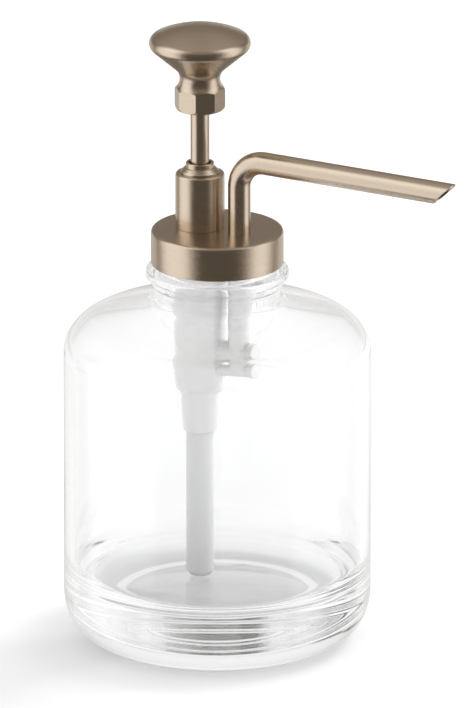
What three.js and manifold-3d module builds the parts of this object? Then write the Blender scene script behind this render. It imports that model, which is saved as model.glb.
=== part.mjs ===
// Soap pump dispenser: a clear glass bottle with a screw-on metal cap that carries a
// fixed spout and a sprung plunger pump. Millimetres, +Z up, +X along the spout.
// The origin is on the bottle's axis, at the table.
import * as THREE from 'three';
import { mergeVertices } from 'three/addons/utils/BufferGeometryUtils.js';
import Module from 'manifold-3d';

const wasm = await Module();
wasm.setup();

// Clearances: pieces that are fastened together, and shafts that run in bores.
const GAP = 0.3;
const RUNNING_GAP = 0.05;

// Where the two upright axes stand along X, from the bottle's axis.
const PLUNGER_X = -5.5;
const RISER_X = 7;

// Glass bottle. Heights are above the table in every block below.
const BOTTLE_RADIUS = 43;
const BOTTLE_WALL = 2.5;
const HEEL_WIDTH = 10;
const HEEL_HEIGHT = 14;
const FLOOR_Z = 16;
const FLOOR_CORNER = 9;
const WALL_TOP_Z = 83.35;
const SHOULDER_WIDTH = 12.8;
const SHOULDER_HEIGHT = 10.8;
const SHOULDER_SLOPE = THREE.MathUtils.degToRad(19);
const ROOF_TOP_RADIUS = 21.5;
const THROAT_CURVE = 6.3;
const NECK_RADIUS = 17.9;
const NECK_Z = 102;
const MOUTH_RADIUS = 13.5;
const COLLAR_RADIUS = 20.05;
const COLLAR_BOTTOM_Z = 106;
const COLLAR_TOP_Z = 107.9;
const FINISH_RADIUS = 16.2;
const FINISH_TOP_Z = 115.2;
const FINISH_EDGE = 0.5;

// Metal cap and the plastic liner that screws onto the bottle's finish.
const CAP_RADIUS = 18.55;
const CAP_BOTTOM_Z = 109.7;
const CAP_TOP_Z = 119.4;
const CAP_WALL = 0.8;
const CAP_DECK = 1.6;
const CAP_EDGE = 1;
const LINER_WALL = 0.95;
const LINER_TOP_Z = 116.2;
const GASKET_THICKNESS = 0.8;

// Guide sleeve, with the stepped gland ring in its top and the wiper under the ring.
const SLEEVE_RADIUS = 6.9;
const SLEEVE_TOP_Z = 135.2;
const SLEEVE_EDGE = 0.9;
const SPIGOT_RADIUS = 5.9;
const SPIGOT_BOTTOM_Z = 108.9;
const GLAND_POCKET_RADIUS = 4.8;
const GLAND_POCKET_Z = 128;
const GLAND_BASE_RADIUS = 5.4;
const GLAND_STEP_RADIUS = 4.3;
const GLAND_LIP_RADIUS = 3.9;
const GLAND_TOP_Z = 138.2;
const GLAND_BORE = 3.15;
const WIPER_HEIGHT = 3;

// Plunger: rod, mushroom knob with an eight-sided collar, piston and its seal.
const ROD_RADIUS = 2.65;
const ROD_BOTTOM_Z = 101.8;
const ROD_TOP_Z = 163;
const KNOB_TOP_Z = 177.8;
const KNOB_RADIUS = 14.2;
const KNOB_DOME = 30.8;
const KNOB_RIM = 2.3;
const KNOB_UNDERSIDE = 42;
const KNOB_WAIST_RADIUS = 5.7;
const KNOB_WAIST_CURVE = 3.9;
const KNOB_WAIST_Z = 162.65;
const KNOB_COLLAR_RADIUS = 7.15;
const KNOB_COLLAR_TOP_Z = 159.6;
const KNOB_COLLAR_BOTTOM_Z = 153.6;
const KNOB_COLLAR_CHAMFER = 1.1;
const KNOB_COLLAR_SIDES = 8;
const KNOB_COLLAR_TURN = THREE.MathUtils.degToRad(19.3);
const PISTON_RADIUS = 4.7;
const PISTON_BOTTOM_Z = 100;
const PISTON_TOP_Z = 108.6;
const PISTON_GROOVE_RADIUS = 3.7;
const SEAL_BOTTOM_Z = 102.4;
const SEAL_HEIGHT = 2.2;

// Spout: one tube that rises from the cap, bends to level and is cut off slanting.
const SPOUT_RADIUS = 3.175;
const SPOUT_WALL = 0.6;
const SPOUT_BOTTOM_Z = 108.5;
const SPOUT_BEND = 8;
const SPOUT_LEVEL_Z = 140.8;
const SPOUT_TIP_X = 75;
const SPOUT_CUT = THREE.MathUtils.degToRad(46);
const NUT_RADIUS = 4.6;
const NUT_HEIGHT = 3;
const WASHER_RADIUS = 4.4;
const WASHER_THICKNESS = 0.8;

// Pump housing: deck under the cap, stepped barrel, side arm and the outlet valve's boss.
const DECK_RADIUS = 16.9;
const DECK_BOTTOM_Z = 116.6;
const DECK_TOP_Z = 117.5;
const BARREL_RADIUS = 7.5;
const BARREL_TAPER_TOP_Z = 92;
const BARREL_LOWER_RADIUS = 6.75;
const BARREL_EDGE = 0.5;
const BARREL_BOTTOM_Z = 71.7;
const BARREL_BORE = 5.2;
const ARM_Z = 82.7;
const ARM_RADIUS = 2.9;
const ARM_BORE = 1.3;
const ARM_END_X = 10.1;
const BOSS_RADIUS = 3.1;
const BOSS_TOP_Z = 93;
const BOSS_BORE = 2.2;
const OUTLET_SEAT_Z = 86;
const OUTLET_SEAT_BORE = 1;
const OUTLET_BALL_RADIUS = 1.6;
const PLUG_RADIUS = 3.2;
const PLUG_THICKNESS = 1.8;
const PLUG_DEPTH = 1.9;
const PLUG_STEM_RADIUS = 1;

// Discharge tube between the outlet valve and the spout's foot.
const DISCHARGE_BOTTOM_Z = 90.6;
const DISCHARGE_RADIUS = 3.2;
const DISCHARGE_SPIGOT = 1.9;
const DISCHARGE_BORE = 1.2;
const SOCKET_RADIUS = 4.2;
const SOCKET_BOTTOM_Z = 106.5;
const SOCKET_TOP_Z = 111.6;

// Tailpiece with the inlet valve, and the dip tube pushed up into it.
const TAIL_TOP_RADIUS = 5.65;
const TAIL_BOTTOM_RADIUS = 4.8;
const TAIL_BOTTOM_Z = 59.9;
const TAIL_SPIGOT_RADIUS = 4.9;
const TAIL_SPIGOT_TOP_Z = 74.2;
const TAIL_CHAMBER_RADIUS = 3.6;
const INLET_SEAT_Z = 68;
const INLET_SEAT_BORE = 1.6;
const INLET_BALL_RADIUS = 2.4;
const STOP_THICKNESS = 1;
const STOP_PORTS = 4;
const STOP_PORT_RADIUS = 1;
const STOP_PORT_CIRCLE = 2.4;
const DIP_RADIUS = 3.95;
const DIP_WALL = 0.7;
const DIP_TOP_Z = 66;
const DIP_BOTTOM_Z = 17;

// Return spring: it works inside the barrel's bore, between the ball stop and the piston.
const SPRING_RADIUS = 3.9;
const SPRING_WIRE = 0.42;
const SPRING_TURNS = 6;

// Sides of the round pieces: large, running or visible, and small.
const LARGE_SIDES = 44;
const ROUND_SIDES = 24;
const SMALL_SIDES = 16;

// ---------------------------------------------------------------- geometry helpers

// A solid turned about Z. The outline is a list of [radius, height] pairs taken
// anticlockwise, from axis to axis or closed on itself.
function turned(outline, sides) {
  const points = outline.map(([radius, height]) => new THREE.Vector2(radius, height));
  return new THREE.LatheGeometry(points, sides).rotateX(Math.PI / 2);
}

// A turned ring with a plain bore and square edges.
function ring(inner, outer, bottom, top, sides) {
  return turned([[inner, bottom], [outer, bottom], [outer, top], [inner, top], [inner, bottom]], sides);
}

// A turned solid disc or pin with square edges.
function disc(radius, bottom, top, sides) {
  return turned([[0, bottom], [radius, bottom], [radius, top], [0, top]], sides);
}

// Points of an elliptical arc for an outline, angles in degrees from the outward direction.
function arc(centreRadius, centreHeight, width, height, from, to, steps) {
  const points = [];
  for (let step = 0; step <= steps; step += 1) {
    const angle = THREE.MathUtils.degToRad(from + ((to - from) * step) / steps);
    points.push([centreRadius + width * Math.cos(angle), centreHeight + height * Math.sin(angle)]);
  }
  return points;
}

// A closed geometry as a solid that can be joined and cut. Triangles that close to
// a line where an outline meets its axis are left out.
function toSolid(geometry) {
  const bare = geometry.clone();
  bare.deleteAttribute('normal');
  bare.deleteAttribute('uv');
  const merged = mergeVertices(bare, 1e-4);
  const corners = merged.index.array;
  const kept = [];
  for (let at = 0; at < corners.length; at += 3) {
    const [a, b, c] = [corners[at], corners[at + 1], corners[at + 2]];
    if (a !== b && b !== c && c !== a) {
      kept.push(a, b, c);
    }
  }
  return new wasm.Manifold(new wasm.Mesh({
    numProp: 3,
    vertProperties: new Float32Array(merged.attributes.position.array),
    triVerts: new Uint32Array(kept),
  }));
}

// The joined or cut solid as a geometry again.
function toGeometry(solid) {
  const { vertProperties, triVerts } = solid.getMesh();
  const geometry = new THREE.BufferGeometry();
  geometry.setAttribute('position', new THREE.BufferAttribute(vertProperties, 3));
  geometry.setIndex(new THREE.BufferAttribute(triVerts, 1));
  geometry.computeVertexNormals();
  return geometry;
}

// A level round bar along +X from one place to another, on the given height.
function levelBar(radius, fromX, toX, height, sides) {
  return disc(radius, fromX, toX, sides).rotateY(Math.PI / 2).translate(0, 0, height);
}

// ---------------------------------------------------------------- materials

const glass = () => new THREE.MeshStandardMaterial({
  color: 0xf4f7f6, roughness: 0.02, metalness: 0, transparent: true, opacity: 0.3,
});
const bronze = () => new THREE.MeshStandardMaterial({ color: 0x9c8873, roughness: 0.34, metalness: 1 });
const steel = () => new THREE.MeshStandardMaterial({ color: 0xb9bcbe, roughness: 0.25, metalness: 1 });
const whitePlastic = () => new THREE.MeshStandardMaterial({ color: 0xe9ebeb, roughness: 0.3, metalness: 0 });
const milkyPlastic = () => new THREE.MeshStandardMaterial({ color: 0xe4e8e8, roughness: 0.35, metalness: 0 });
const rubber = () => new THREE.MeshStandardMaterial({ color: 0x2b2b2c, roughness: 0.7, metalness: 0 });

// ---------------------------------------------------------------- bottle

// One blown and pressed piece: thick base with a rounded heel, thin wall, round
// shoulder, gently sloping roof, waisted neck, round collar and the finish for the cap.
function glassBottle() {
  const shoulderCentre = BOTTLE_RADIUS - SHOULDER_WIDTH;
  const roof = shoulder(shoulderCentre, SHOULDER_WIDTH, SHOULDER_HEIGHT, 7);
  const innerRadius = BOTTLE_RADIUS - BOTTLE_WALL;
  const innerRoof = shoulder(shoulderCentre, SHOULDER_WIDTH - BOTTLE_WALL, SHOULDER_HEIGHT - BOTTLE_WALL, 5);
  const floorCorner = arc(innerRadius - FLOOR_CORNER, FLOOR_Z + FLOOR_CORNER, FLOOR_CORNER, FLOOR_CORNER, 0, -80, 5);
  const roofTopZ = roofHeight(roof, ROOF_TOP_RADIUS);
  const collarEdge = 0.4;
  const throatZ = roofHeight(innerRoof, MOUTH_RADIUS);
  const throat = arc(MOUTH_RADIUS + THROAT_CURVE, throatZ + THROAT_CURVE * 0.72, THROAT_CURVE, THROAT_CURVE, 180, 251, 4);
  return turned([
    [0, 0],
    ...arc(BOTTLE_RADIUS - HEEL_WIDTH, HEEL_HEIGHT, HEEL_WIDTH, HEEL_HEIGHT, -90, 0, 6),
    ...roof,
    [ROOF_TOP_RADIUS, roofTopZ],
    [NECK_RADIUS + 1.4, roofTopZ + 1],
    [NECK_RADIUS + 0.3, roofTopZ + 2.2],
    [NECK_RADIUS, NECK_Z],
    [NECK_RADIUS + 0.2, NECK_Z + 1.2],
    [COLLAR_RADIUS - collarEdge, COLLAR_BOTTOM_Z - collarEdge],
    [COLLAR_RADIUS, COLLAR_BOTTOM_Z + collarEdge],
    [COLLAR_RADIUS, COLLAR_TOP_Z - collarEdge],
    [COLLAR_RADIUS - collarEdge, COLLAR_TOP_Z],
    [FINISH_RADIUS, COLLAR_TOP_Z],
    [FINISH_RADIUS, FINISH_TOP_Z - FINISH_EDGE],
    [FINISH_RADIUS - FINISH_EDGE, FINISH_TOP_Z],
    [MOUTH_RADIUS + FINISH_EDGE, FINISH_TOP_Z],
    [MOUTH_RADIUS, FINISH_TOP_Z - FINISH_EDGE],
    ...throat,
    ...innerRoof.reverse(),
    ...floorCorner,
    [0, FLOOR_Z],
  ], LARGE_SIDES);
}

// Outline of the round shoulder from the upright wall to where the roof's slope takes over.
function shoulder(centre, width, height, steps) {
  const end = Math.atan2(height, width * Math.tan(SHOULDER_SLOPE));
  return arc(centre, WALL_TOP_Z, width, height, 0, THREE.MathUtils.radToDeg(end), steps);
}

// Height of the sloping roof at a radius, from the shoulder outline that it carries on.
function roofHeight(outline, radius) {
  const [startRadius, startZ] = outline[outline.length - 1];
  return startZ + (startRadius - radius) * Math.tan(SHOULDER_SLOPE);
}

// Flat soft ring squeezed between the bottle's lip and the pump's deck.
function bottleGasket() {
  const bottom = FINISH_TOP_Z + GAP;
  return ring(MOUTH_RADIUS + 0.1, FINISH_RADIUS, bottom, bottom + GASKET_THICKNESS, LARGE_SIDES);
}

// ---------------------------------------------------------------- cap

// Shallow turned cup with a rounded top edge and two holes in its deck.
function capShell() {
  const inner = CAP_RADIUS - CAP_WALL;
  const underside = CAP_TOP_Z - CAP_DECK;
  const cup = toSolid(turned([
    [0, underside],
    [inner, underside],
    [inner, CAP_BOTTOM_Z],
    [CAP_RADIUS, CAP_BOTTOM_Z],
    ...arc(CAP_RADIUS - CAP_EDGE, CAP_TOP_Z - CAP_EDGE, CAP_EDGE, CAP_EDGE, 0, 90, 3),
    [0, CAP_TOP_Z],
  ], LARGE_SIDES));
  const sleeveHole = disc(SPIGOT_RADIUS + GAP, underside - 1, CAP_TOP_Z + 1, ROUND_SIDES);
  const riserHole = disc(SPOUT_RADIUS + GAP, underside - 1, CAP_TOP_Z + 1, ROUND_SIDES);
  return toGeometry(cup
    .subtract(toSolid(sleeveHole.translate(PLUNGER_X, 0, 0)))
    .subtract(toSolid(riserHole.translate(RISER_X, 0, 0))));
}

// Plastic ring inside the cap's skirt; the real one has the screw thread on its inside.
function capLiner() {
  const outer = CAP_RADIUS - CAP_WALL - GAP;
  return ring(outer - LINER_WALL, outer, CAP_BOTTOM_Z + GAP, LINER_TOP_Z, LARGE_SIDES);
}

// ---------------------------------------------------------------- guide and gland

// Tall turned sleeve. Its spigot goes down through the cap and screws into the pump's
// barrel, and its narrow bore guides the rod.
function guideSleeve() {
  const seat = CAP_TOP_Z + GAP;
  const bore = ROD_RADIUS + RUNNING_GAP;
  return turned([
    [bore, SPIGOT_BOTTOM_Z],
    [SPIGOT_RADIUS, SPIGOT_BOTTOM_Z],
    [SPIGOT_RADIUS, seat],
    [SLEEVE_RADIUS, seat],
    ...arc(SLEEVE_RADIUS - SLEEVE_EDGE, SLEEVE_TOP_Z - SLEEVE_EDGE, SLEEVE_EDGE, SLEEVE_EDGE, 0, 90, 3),
    [GLAND_POCKET_RADIUS, SLEEVE_TOP_Z],
    [GLAND_POCKET_RADIUS, GLAND_POCKET_Z],
    [bore, GLAND_POCKET_Z],
    [bore, SPIGOT_BOTTOM_Z],
  ], ROUND_SIDES);
}

// Ring that closes the sleeve's top: a stem in the pocket, a cone and a raised lip.
function glandRing() {
  const stemBottom = GLAND_POCKET_Z + WIPER_HEIGHT + 2 * GAP;
  const stemRadius = GLAND_POCKET_RADIUS - GAP;
  const coneBottom = SLEEVE_TOP_Z + GAP;
  return turned([
    [GLAND_BORE, stemBottom],
    [stemRadius, stemBottom],
    [stemRadius, coneBottom],
    [GLAND_BASE_RADIUS, coneBottom],
    [GLAND_BASE_RADIUS, coneBottom + 0.4],
    [GLAND_STEP_RADIUS, coneBottom + 1.3],
    [GLAND_LIP_RADIUS, coneBottom + 1.5],
    [GLAND_LIP_RADIUS, GLAND_TOP_Z - 0.3],
    [GLAND_LIP_RADIUS - 0.3, GLAND_TOP_Z],
    [GLAND_BORE, GLAND_TOP_Z],
    [GLAND_BORE, stemBottom],
  ], ROUND_SIDES);
}

// Soft ring that wipes the rod as it rises.
function rodWiper() {
  const bottom = GLAND_POCKET_Z + GAP;
  const inner = ROD_RADIUS + RUNNING_GAP;
  return ring(inner, GLAND_POCKET_RADIUS - GAP, bottom, bottom + WIPER_HEIGHT, ROUND_SIDES);
}

// ---------------------------------------------------------------- plunger

function plungerRod() {
  return disc(ROD_RADIUS, ROD_BOTTOM_Z, ROD_TOP_Z - GAP, ROUND_SIDES);
}

// Turned mushroom knob, bored from below for the rod; the collar is cut to eight flats.
function knob() {
  const rimCentre = KNOB_RADIUS - KNOB_RIM;
  const domeCentreZ = KNOB_TOP_Z - KNOB_DOME;
  const rimCentreZ = domeCentreZ + Math.sqrt((KNOB_DOME - KNOB_RIM) ** 2 - rimCentre ** 2);
  const domeEnd = THREE.MathUtils.radToDeg(Math.atan2(rimCentreZ - domeCentreZ, rimCentre));
  const boreRadius = ROD_RADIUS + GAP;
  const waistCentre = KNOB_WAIST_RADIUS + KNOB_WAIST_CURVE;
  const turnedKnob = toSolid(turned([
    [0, ROD_TOP_Z],
    [boreRadius, ROD_TOP_Z],
    [boreRadius, KNOB_COLLAR_BOTTOM_Z],
    [KNOB_COLLAR_RADIUS - KNOB_COLLAR_CHAMFER * 1.3, KNOB_COLLAR_BOTTOM_Z],
    [KNOB_COLLAR_RADIUS - KNOB_COLLAR_CHAMFER * 0.45, KNOB_COLLAR_BOTTOM_Z + KNOB_COLLAR_CHAMFER * 0.4],
    [KNOB_COLLAR_RADIUS, KNOB_COLLAR_BOTTOM_Z + KNOB_COLLAR_CHAMFER * 1.2],
    [KNOB_COLLAR_RADIUS, KNOB_COLLAR_TOP_Z],
    ...arc(waistCentre, KNOB_WAIST_Z, KNOB_WAIST_CURVE, KNOB_WAIST_CURVE, 224, 90 + KNOB_UNDERSIDE, 5),
    ...arc(rimCentre, rimCentreZ, KNOB_RIM, KNOB_RIM, KNOB_UNDERSIDE - 90, domeEnd, 5),
    ...arc(0, domeCentreZ, KNOB_DOME, KNOB_DOME, domeEnd, 90, 5).slice(1),
  ], ROUND_SIDES));
  const waistTop = KNOB_WAIST_Z - 1;
  const flats = new THREE.CylinderGeometry(
    KNOB_COLLAR_RADIUS, KNOB_COLLAR_RADIUS, waistTop - KNOB_COLLAR_BOTTOM_Z + 1, KNOB_COLLAR_SIDES,
  );
  flats.rotateX(Math.PI / 2).rotateZ(KNOB_COLLAR_TURN);
  flats.translate(0, 0, (waistTop + KNOB_COLLAR_BOTTOM_Z - 1) / 2);
  const above = disc(KNOB_RADIUS + 1, waistTop - 0.1, KNOB_TOP_Z + 1, ROUND_SIDES);
  return toGeometry(turnedKnob.intersect(toSolid(flats).add(toSolid(above))));
}

// Plastic piston, bored for the rod's end and grooved for its seal.
function piston() {
  const bore = ROD_RADIUS + GAP;
  const grooveBottom = SEAL_BOTTOM_Z - GAP;
  const grooveTop = SEAL_BOTTOM_Z + SEAL_HEIGHT + GAP;
  return turned([
    [0, PISTON_BOTTOM_Z],
    [PISTON_RADIUS, PISTON_BOTTOM_Z],
    [PISTON_RADIUS, grooveBottom],
    [PISTON_GROOVE_RADIUS, grooveBottom],
    [PISTON_GROOVE_RADIUS, grooveTop],
    [PISTON_RADIUS, grooveTop],
    [PISTON_RADIUS, PISTON_TOP_Z],
    [bore, PISTON_TOP_Z],
    [bore, ROD_BOTTOM_Z - GAP],
    [0, ROD_BOTTOM_Z - GAP],
  ], ROUND_SIDES);
}

// Soft cup that runs against the barrel's bore.
function pistonSeal() {
  const inner = PISTON_GROOVE_RADIUS + GAP;
  return ring(inner, BARREL_BORE - RUNNING_GAP, SEAL_BOTTOM_Z, SEAL_BOTTOM_Z + SEAL_HEIGHT, ROUND_SIDES);
}

// ---------------------------------------------------------------- spout

// The spout's centreline in the XZ plane: one station at each end, the rest in the bend.
class SpoutCentreline extends THREE.Curve {
  constructor(bendSteps) {
    super();
    this.stations = bendSteps + 2;
    this.bendSteps = bendSteps;
  }

  turnAt(u) {
    const step = Math.round(u * this.stations) - 1;
    return (Math.min(Math.max(step, 0), this.bendSteps) / this.bendSteps) * (Math.PI / 2);
  }

  getPointAt(u) {
    if (u <= 0) {
      return new THREE.Vector3(RISER_X, 0, SPOUT_BOTTOM_Z);
    }
    if (u >= 1) {
      return new THREE.Vector3(SPOUT_TIP_X + SPOUT_RADIUS, 0, SPOUT_LEVEL_Z);
    }
    const turn = this.turnAt(u);
    return new THREE.Vector3(
      RISER_X + SPOUT_BEND * (1 - Math.cos(turn)),
      0,
      SPOUT_LEVEL_Z - SPOUT_BEND * (1 - Math.sin(turn)),
    );
  }

  getTangentAt(u) {
    const turn = this.turnAt(u);
    return new THREE.Vector3(Math.sin(turn), 0, Math.cos(turn));
  }
}

// Bent tube with a mitred mouth: the top is longer than the bottom.
function spoutTube() {
  const section = new THREE.Shape();
  section.absarc(0, 0, SPOUT_RADIUS, 0, Math.PI * 2, false);
  const bore = new THREE.Path();
  bore.absarc(0, 0, SPOUT_RADIUS - SPOUT_WALL, 0, Math.PI * 2, true);
  section.holes.push(bore);
  const centreline = new SpoutCentreline(10);
  const tube = new THREE.ExtrudeGeometry(section, {
    steps: centreline.stations, extrudePath: centreline, curveSegments: ROUND_SIDES / 2,
  });
  const size = SPOUT_RADIUS * 8;
  const cutter = new THREE.BoxGeometry(size, size, size).translate(size / 2, 0, 0);
  cutter.rotateY(SPOUT_CUT);
  cutter.translate(SPOUT_TIP_X, 0, SPOUT_LEVEL_Z + SPOUT_RADIUS);
  return toGeometry(toSolid(tube).subtract(toSolid(cutter)));
}

// Six-sided nut that holds the spout from under the deck.
function spoutNut() {
  const top = DECK_BOTTOM_Z - 2 * GAP - WASHER_THICKNESS;
  const blank = new THREE.CylinderGeometry(NUT_RADIUS, NUT_RADIUS, NUT_HEIGHT, 6);
  blank.rotateX(Math.PI / 2).translate(0, 0, top - NUT_HEIGHT / 2);
  const bore = disc(SPOUT_RADIUS + GAP, top - NUT_HEIGHT - 1, top + 1, ROUND_SIDES);
  return toGeometry(toSolid(blank).subtract(toSolid(bore)));
}

// Soft washer between that nut and the deck.
function spoutWasher() {
  const bottom = DECK_BOTTOM_Z - GAP - WASHER_THICKNESS;
  return ring(SPOUT_RADIUS + GAP, WASHER_RADIUS, bottom, bottom + WASHER_THICKNESS, ROUND_SIDES);
}

// ---------------------------------------------------------------- pump body

// One moulding: round deck on the bottle's axis, stepped barrel on the plunger's axis,
// side arm along +X and the upright boss that holds the outlet valve.
function pumpHousing() {
  const deck = disc(DECK_RADIUS, DECK_BOTTOM_Z, DECK_TOP_Z, LARGE_SIDES);
  const barrel = turned([
    [0, BARREL_BOTTOM_Z],
    [BARREL_LOWER_RADIUS - BARREL_EDGE, BARREL_BOTTOM_Z],
    [BARREL_LOWER_RADIUS, BARREL_BOTTOM_Z + BARREL_EDGE * 3],
    [BARREL_RADIUS, BARREL_TAPER_TOP_Z],
    [BARREL_RADIUS, DECK_TOP_Z],
    [0, DECK_TOP_Z],
  ], ROUND_SIDES).translate(PLUNGER_X, 0, 0);
  const arm = levelBar(ARM_RADIUS, PLUNGER_X, ARM_END_X, ARM_Z, SMALL_SIDES);
  const boss = disc(BOSS_RADIUS, ARM_Z, BOSS_TOP_Z, SMALL_SIDES).translate(RISER_X, 0, 0);
  const barrelBore = turned([
    [0, BARREL_BOTTOM_Z - 1],
    [BARREL_BORE, BARREL_BOTTOM_Z - 1],
    [BARREL_BORE, SPIGOT_BOTTOM_Z - GAP],
    [SPIGOT_RADIUS + GAP, SPIGOT_BOTTOM_Z - GAP],
    [SPIGOT_RADIUS + GAP, DECK_TOP_Z + 1],
    [0, DECK_TOP_Z + 1],
  ], ROUND_SIDES).translate(PLUNGER_X, 0, 0);
  const armBore = levelBar(ARM_BORE, PLUNGER_X, ARM_END_X + 1, ARM_Z, SMALL_SIDES);
  const bossBore = turned([
    [0, ARM_Z],
    [OUTLET_SEAT_BORE, ARM_Z],
    [OUTLET_SEAT_BORE, OUTLET_SEAT_Z],
    [BOSS_BORE, OUTLET_SEAT_Z],
    [BOSS_BORE, BOSS_TOP_Z + 1],
    [0, BOSS_TOP_Z + 1],
  ], SMALL_SIDES).translate(RISER_X, 0, 0);
  const riserHole = disc(SPOUT_RADIUS + GAP, DECK_BOTTOM_Z - 1, DECK_TOP_Z + 1, ROUND_SIDES);
  return toGeometry(toSolid(deck)
    .add(toSolid(barrel))
    .add(toSolid(arm))
    .add(toSolid(boss))
    .subtract(toSolid(barrelBore))
    .subtract(toSolid(armBore))
    .subtract(toSolid(bossBore))
    .subtract(toSolid(riserHole.translate(RISER_X, 0, 0))));
}

// Plug that closes the end of the side arm's bore.
function sideArmPlug() {
  const head = ARM_END_X + GAP;
  const headEdge = 0.4;
  return turned([
    [0, head - PLUG_DEPTH],
    [PLUG_STEM_RADIUS, head - PLUG_DEPTH],
    [PLUG_STEM_RADIUS, head],
    [PLUG_RADIUS, head],
    [PLUG_RADIUS, head + PLUG_THICKNESS - headEdge],
    [PLUG_RADIUS - headEdge, head + PLUG_THICKNESS],
    [0, head + PLUG_THICKNESS],
  ], SMALL_SIDES).rotateY(Math.PI / 2).translate(0, 0, ARM_Z);
}

// Upright tube from the outlet valve to the spout's foot, with a socket at its top.
function dischargeTube() {
  const shoulder = BOSS_TOP_Z + GAP;
  const socketBore = SPOUT_RADIUS + GAP;
  return turned([
    [DISCHARGE_BORE, DISCHARGE_BOTTOM_Z],
    [DISCHARGE_SPIGOT, DISCHARGE_BOTTOM_Z],
    [DISCHARGE_SPIGOT, shoulder],
    [DISCHARGE_RADIUS, shoulder],
    [DISCHARGE_RADIUS, SOCKET_BOTTOM_Z],
    [SOCKET_RADIUS, SOCKET_BOTTOM_Z + 0.6],
    [SOCKET_RADIUS, SOCKET_TOP_Z],
    [socketBore, SOCKET_TOP_Z],
    [socketBore, SPOUT_BOTTOM_Z - GAP],
    [DISCHARGE_BORE, SPOUT_BOTTOM_Z - GAP],
    [DISCHARGE_BORE, DISCHARGE_BOTTOM_Z],
  ], SMALL_SIDES);
}

// A valve ball resting just clear of the edge of its round seat.
function valveBall(radius, seatBore, seatZ) {
  const centreZ = seatZ + Math.sqrt(radius ** 2 - seatBore ** 2) + RUNNING_GAP * 2;
  return new THREE.SphereGeometry(radius, SMALL_SIDES, 10).rotateX(Math.PI / 2).translate(0, 0, centreZ);
}

// Push-in tailpiece: spigot, tapered skirt, inlet seat and the socket for the dip tube.
function tailpiece() {
  const shoulder = BARREL_BOTTOM_Z - GAP;
  const socket = DIP_RADIUS + GAP * 0.85;
  return turned([
    [socket, TAIL_BOTTOM_Z],
    [TAIL_BOTTOM_RADIUS - 0.2, TAIL_BOTTOM_Z],
    [TAIL_BOTTOM_RADIUS, TAIL_BOTTOM_Z + 0.4],
    [TAIL_TOP_RADIUS, shoulder],
    [TAIL_SPIGOT_RADIUS, shoulder],
    [TAIL_SPIGOT_RADIUS, TAIL_SPIGOT_TOP_Z],
    [TAIL_CHAMBER_RADIUS, TAIL_SPIGOT_TOP_Z],
    [TAIL_CHAMBER_RADIUS, INLET_SEAT_Z],
    [INLET_SEAT_BORE, INLET_SEAT_Z],
    [INLET_SEAT_BORE, DIP_TOP_Z + GAP],
    [socket, DIP_TOP_Z + GAP],
    [socket, TAIL_BOTTOM_Z],
  ], ROUND_SIDES);
}

// Disc over the inlet chamber that keeps the ball in and carries the spring; the soap
// passes through its ports.
function ballStop() {
  const bottom = TAIL_SPIGOT_TOP_Z + GAP;
  let plate = toSolid(disc(TAIL_SPIGOT_RADIUS, bottom, bottom + STOP_THICKNESS, ROUND_SIDES));
  for (let port = 0; port < STOP_PORTS; port += 1) {
    const angle = (port / STOP_PORTS) * Math.PI * 2;
    const hole = disc(STOP_PORT_RADIUS, bottom - 1, bottom + STOP_THICKNESS + 1, 8);
    hole.translate(STOP_PORT_CIRCLE * Math.cos(angle), STOP_PORT_CIRCLE * Math.sin(angle), 0);
    plate = plate.subtract(toSolid(hole));
  }
  return toGeometry(plate);
}

// Straight suction tube with a rounded lower end that stops just above the floor.
function dipTube() {
  const bore = DIP_RADIUS - DIP_WALL;
  return turned([
    [bore, DIP_BOTTOM_Z + 0.2],
    [DIP_RADIUS - 0.5, DIP_BOTTOM_Z],
    [DIP_RADIUS, DIP_BOTTOM_Z + 0.8],
    [DIP_RADIUS, DIP_TOP_Z],
    [bore, DIP_TOP_Z],
    [bore, DIP_BOTTOM_Z + 0.2],
  ], SMALL_SIDES);
}

// Helix from the ball stop to the underside of the piston.
class SpringCentreline extends THREE.Curve {
  constructor(bottom, top) {
    super();
    this.bottom = bottom;
    this.height = top - bottom;
  }

  getPoint(t) {
    const angle = t * SPRING_TURNS * Math.PI * 2;
    const x = SPRING_RADIUS * Math.cos(angle);
    const y = SPRING_RADIUS * Math.sin(angle);
    return new THREE.Vector3(x, y, this.bottom + this.height * t);
  }
}

// Round-wire compression spring.
function returnSpring() {
  const section = new THREE.Shape();
  section.absarc(0, 0, SPRING_WIRE, 0, Math.PI * 2, false);
  const bottom = TAIL_SPIGOT_TOP_Z + STOP_THICKNESS + 2 * GAP + SPRING_WIRE;
  const top = PISTON_BOTTOM_Z - GAP - SPRING_WIRE;
  return new THREE.ExtrudeGeometry(section, {
    steps: SPRING_TURNS * 12,
    extrudePath: new SpringCentreline(bottom, top),
    curveSegments: 3,
  });
}

// ---------------------------------------------------------------- assembly

function piece(name, geometry, material) {
  const mesh = new THREE.Mesh(geometry, material);
  mesh.name = name;
  return mesh;
}

// Everything that is round about the bottle's own axis, or is modelled in its frame.
const bottleAxis = new THREE.Group();
bottleAxis.add(
  piece('glass_bottle', glassBottle(), glass()),
  piece('bottle_gasket', bottleGasket(), rubber()),
  piece('cap_shell', capShell(), bronze()),
  piece('cap_liner', capLiner(), whitePlastic()),
  piece('spout_tube', spoutTube(), bronze()),
  piece('pump_housing', pumpHousing(), whitePlastic()),
  piece('side_arm_plug', sideArmPlug(), whitePlastic()),
);

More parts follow.
